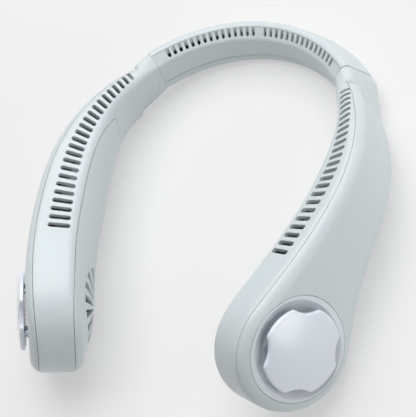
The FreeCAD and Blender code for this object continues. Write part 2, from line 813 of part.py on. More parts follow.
def neck_rounding(inset):
    return [max(value - inset, least_round) for value in neck_rounds]


def neck_point(radius, height, angle):
    """Point of the band at an angle from the back, positive to the right."""
    turn = math.radians(angle)
    return Vector(radius * math.sin(turn), neck_axis_y + radius * math.cos(turn), height)


def neck_sweep(inset, start, end):
    """Band of the section between two angles from the back."""
    corners = [neck_point(radius, height, start) for radius, height in neck_section(inset)]
    face = Part.Face(rounded_wire(corners, neck_rounding(inset)))
    axis = Vector(0, neck_axis_y, 0)
    return face.revolve(axis, Vector(0, 0, -1), end - start)


def neck_slots():
    """Slot cutters through the sloping top of the band."""
    top, slope_end = neck_section(0.0)[0], neck_section(0.0)[3]
    tilt = math.degrees(math.atan2(top[1] - slope_end[1], top[0] - slope_end[0]))
    cutter = stadium(neck_slot_length, neck_slot_width, wall * 4)
    cutter.translate(Vector(neck_slot_margin, 0, 0))
    cutter.rotate(Vector(), Vector(0, 0, 1), -quarter_turn)
    cutter.rotate(Vector(), Vector(1, 0, 0), tilt)
    cutter.translate(neck_point(top[0], top[1], 0))
    step = math.degrees(neck_slot_pitch / slot_line_radius)
    cutters = []
    for side in (-1, 1):
        for index in range(neck_slot_count):
            slot = cutter.copy()
            slot.rotate(Vector(0, neck_axis_y, 0), Vector(0, 0, -1), side * step * (index + 1))
            cutters.append(slot)
    return Part.makeCompound(cutters)


def neck_shells():
    """Slotted inner shell and plain outer shell of the band."""
    span = 2 * neck_end_angle
    shell = neck_sweep(0.0, -neck_end_angle, neck_end_angle)
    shell = shell.cut(neck_sweep(wall, -neck_end_angle, neck_end_angle))
    half = seam_gap / 2
    top, foot = neck_section(0.0)[0], neck_section(0.0)[2]
    along = Vector(foot[0] - top[0], 0, foot[1] - top[1]).normalize()
    across = Vector(along.z, 0, -along.x)

    def side_of(sign):
        base = Vector(top[0] - wall, 0, top[1])
        corners = []
        for run, offset in ((-cut_overrun, half), (cut_overrun, half), (cut_overrun, cut_overrun / 2),
                            (-cut_overrun, cut_overrun / 2)):
            point = base.add(Vector(along).multiply(run)).add(Vector(across).multiply(sign * offset))
            corners.append(neck_point(point.x, point.z, -neck_end_angle))
        face = Part.Face(Part.makePolygon(corners + corners[:1]))
        return face.revolve(Vector(0, neck_axis_y, 0), Vector(0, 0, -1), span)

    one, other = shell.common(side_of(1)), shell.common(side_of(-1))
    inner, outer = sorted((one, other), key=lambda part: part.BoundBox.YMin)
    return {"neck_inner_shell": inner.cut(neck_slots()), "neck_outer_shell": outer}


def wire_harness():
    """Bundle of wires along the inside corner of the band's foot."""
    radius, height = neck_section(wall + harness_radius + harness_clearance)[2]
    end = neck_end_angle - harness_end_margin
    normal = Vector(1, 0, 0)
    normal = FreeCAD.Rotation(Vector(0, 0, 1), end).multVec(normal)
    circle = Part.Wire(Part.makeCircle(harness_radius, neck_point(radius, height, -end), normal))
    return Part.Face(circle).revolve(Vector(0, neck_axis_y, 0), Vector(0, 0, -1), 2 * end)


# Shoulder joint

def arm_placement():
    """Pose of the right arm's frame in the collar frame."""
    yaw, lean = math.radians(arm_yaw), math.radians(arm_lean)
    out = Vector(math.cos(yaw) * math.cos(lean), math.sin(yaw) * math.cos(lean), math.sin(lean))
    ahead = Vector(math.sin(yaw), -math.cos(yaw), 0)
    up = ahead.cross(out)
    return FreeCAD.Placement(FreeCAD.Matrix(
        ahead.x, out.x, up.x, arm_origin_x,
        ahead.y, out.y, up.y, arm_origin_y,
        ahead.z, out.z, up.z, arm_origin_z))


def arm_end_corners(inset):
    """Corners of the arm's shoulder section in the collar frame, from the outer top."""
    index = station_run_shares.index(1.0)
    upper, _, lower = rim_depths(index)
    places = [(0, top_height), (0, belly_height), (lower, belly_height), (upper, top_height)]
    flat = []
    for depth, height_at in places:
        flat.append((-depth, height_at(plan_point(arm_run, depth)[0])))
    pose = arm_placement()
    run = arm_run + joint_end_gap / 2
    corners = []
    for offset, height in inset_polygon(flat, inset):
        corners.append(pose.multVec(Vector(*plan_point(run, -offset), height)))
    return corners


def neck_end_corners(inset):
    """Corners of the band's right end section in the collar frame, from the outer top."""
    angle = neck_end_angle + math.degrees(joint_end_gap / slot_line_radius)
    return [neck_point(radius, height, angle) for radius, height in neck_section(inset)]


def blend_wire(share, inset):
    """Rounded section of the soft joint at a share of the way from the band to the arm."""
    corners = []
    for start, end in zip(neck_end_corners(inset), arm_end_corners(inset)):
        corners.append(Vector(start).multiply(1 - share).add(Vector(end).multiply(share)))
    return rounded_wire(corners, [joint_round - inset] * len(corners))


def joint_sleeve():
    """Soft ribbed sleeve between the neck band and the arm."""
    steps = 2 * joint_rib_count
    wires = []
    for index in range(steps + 1):
        inset = joint_valley_inset if index % 2 else joint_crest_inset
        wires.append(blend_wire(index / steps, inset))
    skin = Part.makeLoft(wires, True, True)
    bore_inset = joint_valley_inset + joint_wall
    bore = Part.makeLoft([blend_wire(share, bore_inset) for share in (0, 1)], True, True)
    return skin.cut(bore)


def joint_placement():
    """Frame of the hinge: origin on its axis, x from the band to the arm, z up its lean."""
    ends, up = [], Vector()
    for corners in (neck_end_corners(0.0), arm_end_corners(0.0)):
        outer_top, outer_foot, inner_foot, inner_top = corners
        top, foot = outer_top.add(inner_top), outer_foot.add(inner_foot)
        ends.append(top.add(foot).multiply(1 / len(corners)))
        up = up.add(top.sub(foot).normalize())
    start, end = ends
    along = end.sub(start)
    side = up.cross(along)
    turn = FreeCAD.Rotation(along, side, along.cross(side), "XZY")
    return FreeCAD.Placement(start.add(end).multiply(1 / 2), turn), along.Length


hinge_half_height = tongue_height / 2 + hinge_gap + ear_height


def eye_plate(low, high, reach):
    """Plate from the hinge axis to a reach, with a round end and a pin hole."""
    height = high - low
    width = 2 * eye_radius
    near, far = min(0, reach), max(0, reach)
    plate = Part.makeBox(far - near, width, height, Vector(near, -eye_radius, low))
    plate = plate.fuse(Part.makeCylinder(eye_radius, height, Vector(0, 0, low)))
    bore = Part.makeCylinder(pin_radius + pin_clearance, height, Vector(0, 0, low))
    return plate.cut(bore)


def hinge_web(near, far, half_height):
    """Upright web between two reaches from the hinge axis, in the collar frame."""
    low = Vector(min(near, far), -web_width / 2, -half_height)
    high = Vector(max(near, far), web_width / 2, half_height)
    return placed(box_between(low, high), joint_placement()[0])


def webbed_collar(collar, room, side, plates):
    """Collar with a full rib across its room, and a web from the rib to the hinge plates."""
    pose, span = joint_placement()
    foot = side * (hinge_reach - ear_height / 4)
    far = side * (span / 2 + collar_length)
    rib = hinge_web(foot, far, cut_overrun).common(room)
    web = hinge_web(foot, side * (span / 2 + collar_length / 2), hinge_half_height)
    return fuse_all([collar, rib, web] + [placed(plate, pose) for plate in plates])


def hinge_yoke():
    """Collar in the band's end with a web and two ears."""
    ear_low = tongue_height / 2 + hinge_gap
    plates = [eye_plate(ear_low, hinge_half_height, -hinge_reach),
              eye_plate(-hinge_half_height, -ear_low, -hinge_reach)]
    start = neck_end_angle - math.degrees(collar_length / slot_line_radius)
    outer = wall + collar_clearance
    room = neck_sweep(outer, start, neck_end_angle)
    collar = room.cut(neck_sweep(outer + collar_wall, start, neck_end_angle))
    return webbed_collar(collar, room, -1, plates)


def hinge_tongue():
    """Collar in the arm's shoulder end with a web and one tongue, in the collar frame."""
    plate = eye_plate(-tongue_height / 2, tongue_height / 2, hinge_reach)
    outer = wall + collar_clearance
    stretch = shoulder_side(arm_run - collar_length, -1).common(shoulder_side(arm_run, 1))
    room = arm_body(outer).common(stretch)
    collar = room.cut(arm_body(outer + collar_wall))
    pose = arm_placement()
    return webbed_collar(placed(collar, pose), placed(room, pose), 1, [plate])


def hinge_pin():
    pose, _ = joint_placement()
    low = -hinge_half_height
    pin = Part.makeCylinder(pin_radius, 2 * hinge_half_height, Vector(0, 0, low))
    head = Part.makeCylinder(pin_head_radius, pin_head_height, Vector(0, 0, hinge_half_height))
    return placed(pin.fuse(head).removeSplitter(), pose)


# Assembly

def arm_parts():
    """Pieces of both arms in the arm frame, as two tables of named shapes."""
    shells, body, cavity = arm_shells()
    common = dict(shells)
    common["inlet_ring"] = inlet_ring(body)
    common["inlet_cap"] = inlet_cap()
    common["blower_housing"] = blower_housing()
    common["housing_screws"] = housing_screws()
    common["impeller"] = impeller()
    common["magnet_ring"] = magnet_ring()
    common["motor_shaft"] = motor_shaft()
    common["shaft_bearing"] = shaft_bearing()
    common["motor_stator"] = motor_stator()
    common["battery_cell"] = battery_cell()
    common["battery_pad"] = battery_pad(cavity)
    left = dict(common)
    charge, hole = charge_parts()
    left["outer_shell"] = fit_controls(common["outer_shell"], cavity)
    left["slot_frame"] = common["slot_frame"].cut(hole)
    left.update(control_parts())
    left.update(charge)
    return common, left, body.common(shoulder_side(arm_run, 1))


def mirrored(shape):
    return shape.mirror(Vector(), Vector(1, 0, 0))


def rest_placement(arm, neck):
    """Pose on a table: tipped until the pods and the band's foot stand level."""
    def lowest(shape, pitch):
        turned = placed(shape, FreeCAD.Placement(Vector(), FreeCAD.Rotation(Vector(1, 0, 0), -pitch)))
        return turned.optimalBoundingBox(True)

    def step(pitch):
        return lowest(neck, pitch).ZMin - lowest(arm, pitch).ZMin

    low, high = 0.0, rest_pitch_limit
    for _ in range(rest_pitch_steps):
        middle = (low + high) / 2
        if step(middle) > 0:
            low = middle
        else:
            high = middle
    arm_box, neck_box = lowest(arm, low), lowest(neck, low)
    shift = Vector(0, -(arm_box.YMin + neck_box.YMax) / 2, -min(arm_box.ZMin, neck_box.ZMin))
    return FreeCAD.Placement(shift, FreeCAD.Rotation(Vector(1, 0, 0), -low)), low


def build():
    """All nodes of the part in the rest frame."""
    right, left, body = arm_parts()
    to_collar = arm_placement()
    nodes = {}
    for name, shape in right.items():
        nodes["right_" + name] = placed(shape, to_collar)
    for name, shape in left.items():
        nodes["left_" + name] = mirrored(placed(shape, to_collar))
    shared = {"joint_sleeve": joint_sleeve(), "hinge_yoke": hinge_yoke(),
              "hinge_tongue": hinge_tongue(), "hinge_pin": hinge_pin()}
    for name, shape in shared.items():
        nodes["right_" + name] = shape
        nodes["left_" + name] = mirrored(shape)
    nodes.update(neck_shells())
    nodes["wire_harness"] = wire_harness()
    neck = neck_sweep(0.0, -neck_end_angle, neck_end_angle)
    pose, pitch = rest_placement(placed(body, to_collar), neck)
    print("rest pitch %.3f degrees" % pitch)
    return {name: placed(shape, pose) for name, shape in nodes.items()}, pose


def print_axes(pose):
    """Axes that the moving pieces turn or slide on, in the rest frame."""
    arm = pose.multiply(arm_placement())
    joint = pose.multiply(joint_placement()[0])
    button = arm.multiply(board_point(button_offset, 0, 0))
    for name, frame, axis in (("fan", arm, Vector(0, 1, 0)), ("hinge", joint, Vector(0, 0, 1)),
                              ("button", button, Vector(0, -1, 0))):
        base, way = frame.Base, frame.Rotation.multVec(axis)
        print("%s on the right: point %.4f %.4f %.4f axis %.6f %.6f %.6f" % (name, *base, *way))


def main():
    os.makedirs("parts", exist_ok=True)
    nodes, pose = build()
    for name, shape in nodes.items():
        shape.exportStep(os.path.join("parts", name + ".step"))
    print_axes(pose)
    print(len(nodes), "nodes")


if __name__ == "__main__":
    main()
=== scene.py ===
import json
import math

import bpy
from bpy.props import FloatProperty, FloatVectorProperty, IntProperty, PointerProperty
from bpy.types import Operator, Panel, PropertyGroup
from mathutils import Matrix, Vector


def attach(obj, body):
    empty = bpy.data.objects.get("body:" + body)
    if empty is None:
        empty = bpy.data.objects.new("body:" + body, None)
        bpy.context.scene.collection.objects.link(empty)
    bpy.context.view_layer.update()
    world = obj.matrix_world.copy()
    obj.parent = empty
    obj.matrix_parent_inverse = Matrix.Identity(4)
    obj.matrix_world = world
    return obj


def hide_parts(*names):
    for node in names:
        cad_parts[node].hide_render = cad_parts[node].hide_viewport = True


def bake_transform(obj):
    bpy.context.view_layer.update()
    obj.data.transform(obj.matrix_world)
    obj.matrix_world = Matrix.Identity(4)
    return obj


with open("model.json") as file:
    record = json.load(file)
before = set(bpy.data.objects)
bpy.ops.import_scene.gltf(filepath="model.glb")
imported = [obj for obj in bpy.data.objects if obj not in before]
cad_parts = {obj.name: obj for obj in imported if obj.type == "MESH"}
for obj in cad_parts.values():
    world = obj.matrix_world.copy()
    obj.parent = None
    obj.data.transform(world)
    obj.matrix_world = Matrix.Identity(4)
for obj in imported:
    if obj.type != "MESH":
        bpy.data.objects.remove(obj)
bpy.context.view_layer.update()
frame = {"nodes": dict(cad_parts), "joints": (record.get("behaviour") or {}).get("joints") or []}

bl_info = {
    "name": "Neck fan",
    "version": (1, 0, 0),
    "blender": (4, 5, 0),
    "location": "View3D > Sidebar > Neck fan",
    "description": "Finishes and soft joints of a wearable neck fan on its packed frame",
    "category": "Object",
}

PICTURE_WIDTH, PICTURE_HEIGHT = 416, 417
SENSOR_WIDTH = 36.0
SIDES = ("right", "left")
ARM_SHELLS = ("outer_shell", "slot_frame", "inner_cover")
BAND_SHELLS = ("neck_outer_shell", "neck_inner_shell")
MERGE_DISTANCE = 1e-6

# Finishes of the moulded plastics
SATIN = {"roughness": 0.36, "grain": 0.05, "glow": 0.4}
GLOSSY = {"roughness": 0.25, "grain": 0.01, "edge": 0.0004, "coat": 1.0, "glow": 0.2}
MATT = {"roughness": 0.5, "grain": 0.08, "edge": 0.0002}

# Rings of the button's dish from the rim inwards: shares of its radius and of its depth
DISH_RINGS = ((0.12, 0.4), (0.2, 0.3), (0.25, 0.2), (0.25, 0.1))
BUTTON_SIDES = 64
RIM_SEGMENTS = 3
RIM_ANGLE = math.radians(40)
SMOOTH_ANGLE = math.radians(35)


# Settings

def colour_setting(name, description, default):
    return FloatVectorProperty(name=name, description=description, subtype="COLOR", size=3,
                               default=default)


def place_setting(name, description, default):
    return FloatVectorProperty(name=name, description=description, subtype="TRANSLATION", size=3,
                               default=default)


def length_setting(name, description, default):
    return FloatProperty(name=name, description=description, unit="LENGTH", default=default)


def power_setting(name, description, default):
    return FloatProperty(name=name, description=description, unit="POWER", default=default)


def angle_setting(name, description, degrees):
    return FloatProperty(name=name, description=description, subtype="ANGLE",
                         default=math.radians(degrees))


class NeckFanColours(PropertyGroup):
    """Colours of the pieces and of the floor."""

    shell: colour_setting("Shell", "Satin plastic of the casing", (0.69, 0.755, 0.775))
    cap: colour_setting("Cap", "Glossy plastic of the inlet caps", (0.83, 0.878, 0.975))
    # The rings' paler tone is partly painted light: raised above the shell's tone to lift the shade that
    # the cap casts in the dish.
    ring: colour_setting("Ring", "Paler plastic of the inlet rings", (0.79, 0.835, 0.875))
    sleeve: colour_setting("Sleeve", "Silicone of the shoulder sleeves", (0.70, 0.765, 0.785))
    nylon: colour_setting("Nylon", "Hinge collars inside the shoulders", (0.30, 0.31, 0.32))
    dark: colour_setting("Dark parts", "Blower housing and fan wheel", (0.045, 0.048, 0.052))
    steel: colour_setting("Steel", "Pins, shafts and board screws", (0.62, 0.63, 0.65))
    zinc: colour_setting("Zinc", "Coating of the housing screws", (0.86, 0.87, 0.89))
    magnet: colour_setting("Magnet", "Rings of the rotors", (0.22, 0.22, 0.24))
    bronze: colour_setting("Bronze", "Sintered bearings", (0.55, 0.38, 0.18))
    iron: colour_setting("Iron", "Poles between the windings", (0.35, 0.35, 0.37))
    copper: colour_setting("Copper", "Windings and tracks", (0.72, 0.30, 0.14))
    board: colour_setting("Board", "Solder mask of the circuit boards", (0.01, 0.09, 0.04))
    plating: colour_setting("Plating", "Shell of the charging socket", (0.7, 0.71, 0.73))
    foil: colour_setting("Foil", "Pouch of the battery cells", (0.55, 0.58, 0.63))
    foam: colour_setting("Foam", "Pads under the battery cells", (0.06, 0.06, 0.065))
    lens: colour_setting("Lens", "Milky plastic of the indicator lenses", (0.78, 0.84, 0.88))
    lens_core: colour_setting("Lens core", "Clearer streaks in the lenses", (0.9, 0.94, 0.97))
    wire: colour_setting("Wire", "First wire's insulation", (0.02, 0.02, 0.022))
    live_wire: colour_setting("Live wire", "Second wire's insulation", (0.3, 0.02, 0.02))
    floor: colour_setting("Floor", "Plain pale floor", (0.88, 0.88, 0.88))


class NeckFanSleeve(PropertyGroup):
    """Soft sleeves over the shoulder hinges."""

    neck_end: place_setting("Band end", "Middle of the right sleeve's end on the neck band",
                            (0.0558, 0.0693, 0.0174))
    arm_end: place_setting("Arm end", "Middle of the right sleeve's end on the arm",
                           (0.0631, 0.0568, 0.0170))
    voxel: length_setting("Voxel", "Mesh size of the moulded skin", 0.0003)
    evening: IntProperty(
        name="Evening", description="Smoothing steps that even out the skin", default=4)
    softening: IntProperty(
        name="Softening", description="Smoothing steps that round the ribs", default=50)
    fullness: length_setting("Fullness", "How far the skin swells over the hinge", 0.0004)
    grip: length_setting("Grip", "Distance from the casing within which the skin clings to it", 0.0009)
    free: length_setting("Free", "Distance from the casing beyond which the skin is free of it", 0.0024)


class NeckFanButton(PropertyGroup):
    """Power button on the left arm."""

    radius: length_setting("Radius", "Radius of the knob", 0.0046)
    proud: length_setting("Proud", "How far the rim stands out of the arm's face", 0.0005)
    depth: length_setting("Depth", "From the arm's face to the back of the flange", 0.0031)
    flange_radius: length_setting("Flange radius", "Radius of the flange inside the arm", 0.0056)
    flange_height: length_setting("Flange height", "Height of the flange", 0.0008)
    rim: length_setting("Rim", "Width of the raised rim", 0.0007)
    hollow: length_setting("Hollow", "Depth of the finger dish", 0.00045)
    rounding: length_setting("Rounding", "Rounding of the rim's edges", 0.00028)


class NeckFanStage(PropertyGroup):
    """Floor and lights."""

    floor_width: length_setting("Floor width", "Width of the floor", 30.0)
    sky: FloatProperty(name="Sky", description="Strength of the even light from all sides", default=0.24)
    key_place: place_setting("Key place", "Middle of the large lamp overhead", (-0.05, 0.58, 1.25))
    key_width: length_setting("Key width", "Width of the large lamp", 1.4)
    key_power: power_setting("Key power", "Power of the large lamp", 19.4)
    fill_place: place_setting("Fill place", "Middle of the lamp at the side", (2.3, -0.28, 0.54))
    fill_width: length_setting("Fill width", "Width of the side lamp", 0.95)
    fill_power: power_setting("Fill power", "Power of the side lamp", 8.0)


class NeckFanView(PropertyGroup):
    """The photograph's camera."""

    azimuth: angle_setting("Azimuth", "Turn of the camera round the fan", 56.175)
    elevation: angle_setting("Elevation", "Height of the camera above the horizon", 55.876)
    roll: angle_setting("Roll", "Tilt of the picture", -44.854)
    distance: length_setting("Distance", "From the camera to the point it looks at", 0.842)
    aim: place_setting("Aim", "Point that the camera looks at", (-0.001586, -0.005917, 0.019321))
    focal_pixels: FloatProperty(
        name="Focal length", description="Focal length in pixels of the picture", default=1700.0)


def colours():
    return bpy.context.scene.neck_fan_colours


# Materials: pattern scales are features per metre, depths and edges are metres

def new_material(name):
    """Empty node material with its shader."""
    material = bpy.data.materials.new(name)
    material.use_nodes = True
    tree = material.node_tree
    return material, tree, tree.nodes["Principled BSDF"]


def place(tree, stretch=(1, 1, 1)):
    """The object's own coordinates, stretched along its axes."""
    coordinates = tree.nodes.new("ShaderNodeTexCoord")
    mapping = tree.nodes.new("ShaderNodeMapping")
    mapping.inputs["Scale"].default_value = stretch
    tree.links.new(coordinates.outputs["Object"], mapping.inputs["Vector"])
    return mapping.outputs["Vector"]


def noise(tree, scale, detail=2.0, stretch=(1, 1, 1)):
    """Noise on the object's own coordinates."""
    texture = tree.nodes.new("ShaderNodeTexNoise")
    texture.inputs["Scale"].default_value = scale
    texture.inputs["Detail"].default_value = detail
    tree.links.new(place(tree, stretch), texture.inputs["Vector"])
    return texture.outputs["Fac"]


def cells(tree, scale, feature="F1"):
    """Voronoi cells on the object's own coordinates."""
    texture = tree.nodes.new("ShaderNodeTexVoronoi")
    texture.feature = feature
    texture.inputs["Scale"].default_value = scale
    tree.links.new(place(tree), texture.inputs["Vector"])
    return texture.outputs["Distance"]


def slanted_waves(tree, scale, distortion):
    """Bands across the object's diagonal."""
    texture = tree.nodes.new("ShaderNodeTexWave")
    texture.bands_direction = "DIAGONAL"
    texture.inputs["Scale"].default_value = scale
    texture.inputs["Distortion"].default_value = distortion
    tree.links.new(place(tree), texture.inputs["Vector"])
    return texture.outputs["Fac"]


def spread(tree, value, low, high, start=0.3, end=0.7):
    """Spread a pattern between two limits."""
    node = tree.nodes.new("ShaderNodeMapRange")
    node.inputs["From Min"].default_value = start
    node.inputs["From Max"].default_value = end
    node.inputs["To Min"].default_value = low
    node.inputs["To Max"].default_value = high
    tree.links.new(value, node.inputs["Value"])
    return node.outputs["Result"]


def two_tone(tree, shader, value, dark, light):
    """Colour between two tones, led by a pattern."""
    tone = tree.nodes.new("ShaderNodeMix")
    tone.data_type = "RGBA"
    tone.inputs["A"].default_value = (*dark, 1)
    tone.inputs["B"].default_value = (*light, 1)
    tree.links.new(value, tone.inputs["Factor"])
    tree.links.new(tone.outputs["Result"], shader.inputs["Base Color"])


def relief(tree, shader, height, strength, depth, edge=0.0):
    """Surface relief from a pattern, over softly rounded edges."""
    bump = tree.nodes.new("ShaderNodeBump")
    bump.inputs["Strength"].default_value = strength
    bump.inputs["Distance"].default_value = depth
    tree.links.new(height, bump.inputs["Height"])
    if edge:
        rounding = tree.nodes.new("ShaderNodeBevel")
        rounding.samples = 6
        rounding.inputs["Radius"].default_value = edge
        tree.links.new(rounding.outputs["Normal"], bump.inputs["Normal"])
    tree.links.new(bump.outputs["Normal"], shader.inputs["Normal"])


def shades(colour, tint):
    """A darker and a lighter tone of a colour."""
    return [c * (1 - tint) for c in colour], [min(c * (1 + tint), 1) for c in colour]


def moulded_plastic(name, colour, roughness, grain, edge=0.0003, coat=0.0, glow=0.0):
    """Injection-moulded plastic: faint tone drift, uneven gloss and a fine spark-eroded grain."""
    material, tree, shader = new_material(name)
    two_tone(tree, shader, noise(tree, scale=25.0), *shades(colour, tint=0.02))
    gloss = spread(tree, noise(tree, scale=180.0), low=roughness * 0.95, high=roughness * 1.05,
                   start=0.2, end=0.8)
    tree.links.new(gloss, shader.inputs["Roughness"])
    shader.inputs["Coat Weight"].default_value = coat
    shader.inputs["Coat Roughness"].default_value = 0.2
    shader.inputs["Subsurface Weight"].default_value = glow
    shader.inputs["Subsurface Radius"].default_value = (1.0, 1.0, 1.0)
    shader.inputs["Subsurface Scale"].default_value = 0.001
    relief(tree, shader, noise(tree, scale=4200.0), strength=grain, depth=0.00008, edge=edge)
    return material


def silicone(name, colour):
    """Soft matte silicone with a dusty bloom."""
    material, tree, shader = new_material(name)
    two_tone(tree, shader, noise(tree, scale=60.0, detail=4.0), *shades(colour, tint=0.03))
    gloss = spread(tree, noise(tree, scale=900.0, detail=3.0), low=0.46, high=0.6)
    tree.links.new(gloss, shader.inputs["Roughness"])
    shader.inputs["Sheen Weight"].default_value = 0.12
    relief(tree, shader, noise(tree, scale=2600.0, detail=3.0), strength=0.1, depth=0.00008)
    return material


def turned_metal(name, colour, roughness, pores=0.0):
    """Bare metal with fine tool marks, or with the pores of sintered metal."""
    material, tree, shader = new_material(name)
    tool_marks = (1, 1, 12)
    two_tone(tree, shader, noise(tree, scale=300.0, detail=3.0, stretch=tool_marks),
             *shades(colour, tint=0.12))
    shader.inputs["Metallic"].default_value = 1.0
    gloss = spread(tree, noise(tree, scale=1500.0, stretch=tool_marks), low=roughness * 0.7,
                   high=roughness * 1.3)
    tree.links.new(gloss, shader.inputs["Roughness"])
    height = cells(tree, scale=5200.0) if pores else noise(tree, scale=5000.0, stretch=tool_marks)
    relief(tree, shader, height, strength=max(pores, 0.12), depth=0.00005, edge=0.0001)
    return material


def windings(name, copper, iron):
    """Copper windings between laminated steel poles."""
    material, tree, shader = new_material(name)
    two_tone(tree, shader, slanted_waves(tree, scale=900.0, distortion=2.0), copper, iron)
    shader.inputs["Metallic"].default_value = 0.9
    gloss = spread(tree, noise(tree, scale=700.0), low=0.28, high=0.45)
    tree.links.new(gloss, shader.inputs["Roughness"])
    relief(tree, shader, slanted_waves(tree, scale=1800.0, distortion=1.0), strength=0.5, depth=0.0001)
    return material


def circuit_board(name, mask, copper):
    """Solder mask over copper tracks."""
    material, tree, shader = new_material(name)
    tracks = spread(tree, cells(tree, scale=420.0, feature="DISTANCE_TO_EDGE"), low=0.0, high=1.0,
                    start=0.04, end=0.06)
    two_tone(tree, shader, tracks, copper, mask)
    shader.inputs["Roughness"].default_value = 0.3
    relief(tree, shader, tracks, strength=0.3, depth=0.00005)
    return material


def pouch_foil(name, colour):
    """Crinkled foil of a pouch cell."""
    material, tree, shader = new_material(name)
    two_tone(tree, shader, noise(tree, scale=120.0, detail=4.0), *shades(colour, tint=0.1))
    shader.inputs["Metallic"].default_value = 0.7
    gloss = spread(tree, noise(tree, scale=350.0), low=0.25, high=0.4)
    tree.links.new(gloss, shader.inputs["Roughness"])
    relief(tree, shader, noise(tree, scale=160.0, detail=5.0), strength=0.35, depth=0.0004)
    return material


def closed_foam(name, colour):
    """Closed-cell foam."""
    material, tree, shader = new_material(name)
    two_tone(tree, shader, cells(tree, scale=1600.0), *shades(colour, tint=0.5))
    shader.inputs["Roughness"].default_value = 0.95
    relief(tree, shader, cells(tree, scale=1600.0), strength=0.8, depth=0.0003)
    return material


def light_pipe(name, milky, clear):
    """Milky clear plastic of the indicator lenses."""
    material, tree, shader = new_material(name)
    two_tone(tree, shader, noise(tree, scale=800.0), milky, clear)
    shader.inputs["Transmission Weight"].default_value = 0.55
    gloss = spread(tree, noise(tree, scale=1500.0), low=0.12, high=0.22)
    tree.links.new(gloss, shader.inputs["Roughness"])
    relief(tree, shader, noise(tree, scale=3000.0), strength=0.05, depth=0.00005)
    return material


def wire_bundle(name, first, second):
    """Twisted wires with two colours of insulation."""
    material, tree, shader = new_material(name)
    two_tone(tree, shader, slanted_waves(tree, scale=260.0, distortion=1.5), first, second)
    shader.inputs["Roughness"].default_value = 0.45
    relief(tree, shader, slanted_waves(tree, scale=520.0, distortion=0.5), strength=0.8, depth=0.0004)
    return material


def studio_floor(name, colour):
    """Pale floor paint, seen half as bare backdrop by camera and reflections, so shadows stay faint."""
    material, tree, shader = new_material(name)
    two_tone(tree, shader, noise(tree, scale=2.0), *shades(colour, tint=0.004))
    shader.inputs["Roughness"].default_value = 0.9
    backdrop = tree.nodes.new("ShaderNodeEmission")
    backdrop.inputs["Color"].default_value = (*colour, 1)
    rays = tree.nodes.new("ShaderNodeLightPath")
    seen = rays.outputs["Is Camera Ray"]
    for other in ("Is Glossy Ray", "Is Transmission Ray"):
        either = tree.nodes.new("ShaderNodeMath")
        either.operation = "MAXIMUM"
        tree.links.new(seen, either.inputs[0])
        tree.links.new(rays.outputs[other], either.inputs[1])
        seen = either.outputs["Value"]
    mix = tree.nodes.new("ShaderNodeMixShader")
    tree.links.new(spread(tree, seen, low=0.0, high=0.5, start=0.0, end=1.0), mix.inputs["Fac"])
    tree.links.new(shader.outputs["BSDF"], mix.inputs[1])
    tree.links.new(backdrop.outputs["Emission"], mix.inputs[2])
    tree.links.new(mix.outputs["Shader"], tree.nodes["Material Output"].inputs["Surface"])
    return material


def dress(material, *nodes):
    """Give CAD nodes their finish."""
    for node in nodes:
        slots = frame["nodes"][node].data.materials
        slots.clear()
        slots.append(material)


def both(*names):
    """Names of a piece on the right and on the left."""
    return [side + "_" + name for name in names for side in SIDES]


# Meshes

def turned_box(node, turn):
    """Low and high corner of a CAD node's box in a turned frame."""
    points = [turn.inverted() @ vertex.co for vertex in frame["nodes"][node].data.vertices]
    return [Vector([pick(values) for values in zip(*points)]) for pick in (min, max)]


def merged_copy(name, *nodes):
    """Copy of CAD nodes' meshes with their split edges joined, as one new piece."""
    bpy.ops.object.select_all(action="DESELECT")
    for node in nodes:
        piece = bpy.data.objects.new(name, frame["nodes"][node].data.copy())
        piece.data.name = name
        piece.data.materials.clear()
        bpy.context.collection.objects.link(piece)
        piece.select_set(True)
    bpy.context.view_layer.objects.active = piece
    if len(nodes) > 1:
        bpy.ops.object.join()
    bpy.ops.object.mode_set(mode="EDIT")
    bpy.ops.mesh.select_all(action="SELECT")
    bpy.ops.mesh.remove_doubles(threshold=MERGE_DISTANCE)
    bpy.ops.mesh.normals_make_consistent(inside=False)
    bpy.ops.object.mode_set(mode="OBJECT")
    return piece


def apply_modifiers(piece):
    """Apply the active piece's modifiers in their order."""
    for name in [modifier.name for modifier in piece.modifiers]:
        bpy.ops.object.modifier_apply(modifier=name)


def mould_skin(skin, size):
    """Make the copy of a sleeve one even skin that swells a little."""
    remesh = skin.modifiers.new("skin", "REMESH")
    remesh.mode = "VOXEL"
    remesh.voxel_size = size.voxel
    even = skin.modifiers.new("even_skin", "SMOOTH")
    even.iterations = size.evening
    swell = skin.modifiers.new("fullness", "DISPLACE")
    swell.strength = size.fullness
    swell.mid_level = 0.0
    apply_modifiers(skin)


def cling_skin(skin, casing, size):
    """Lay the skin's lips on the casing, and soften the ribs where the skin is free of it."""
    lips = skin.vertex_groups.new(name="lips")
    lips.add(range(len(skin.data.vertices)), 1.0, "REPLACE")
    near = skin.modifiers.new("near_casing", "VERTEX_WEIGHT_PROXIMITY")
    near.vertex_group = lips.name
    near.target = casing
    near.proximity_mode = "GEOMETRY"
    near.proximity_geometry = {"FACE"}
    near.max_dist = size.grip
    near.min_dist = size.free
    near.falloff_type = "SMOOTH"
    cling = skin.modifiers.new("cling", "SHRINKWRAP")
    cling.target = casing
    cling.vertex_group = lips.name
    ribs = skin.modifiers.new("soft_ribs", "SMOOTH")
    ribs.iterations = size.softening
    ribs.vertex_group = lips.name
    ribs.invert_vertex_group = True
    apply_modifiers(skin)
    skin.vertex_groups.clear()


def add_lamp(name, spot, width, power):
    """Square lamp that faces the middle of the floor."""
    bpy.ops.object.light_add(type="AREA", location=spot)
    lamp = bpy.context.active_object
    lamp.name = name
    lamp.data.size = width
    lamp.data.energy = power
    lamp.rotation_mode = "QUATERNION"
    lamp.rotation_quaternion = (-Vector(spot)).to_track_quat("-Z", "Y")


# Operators

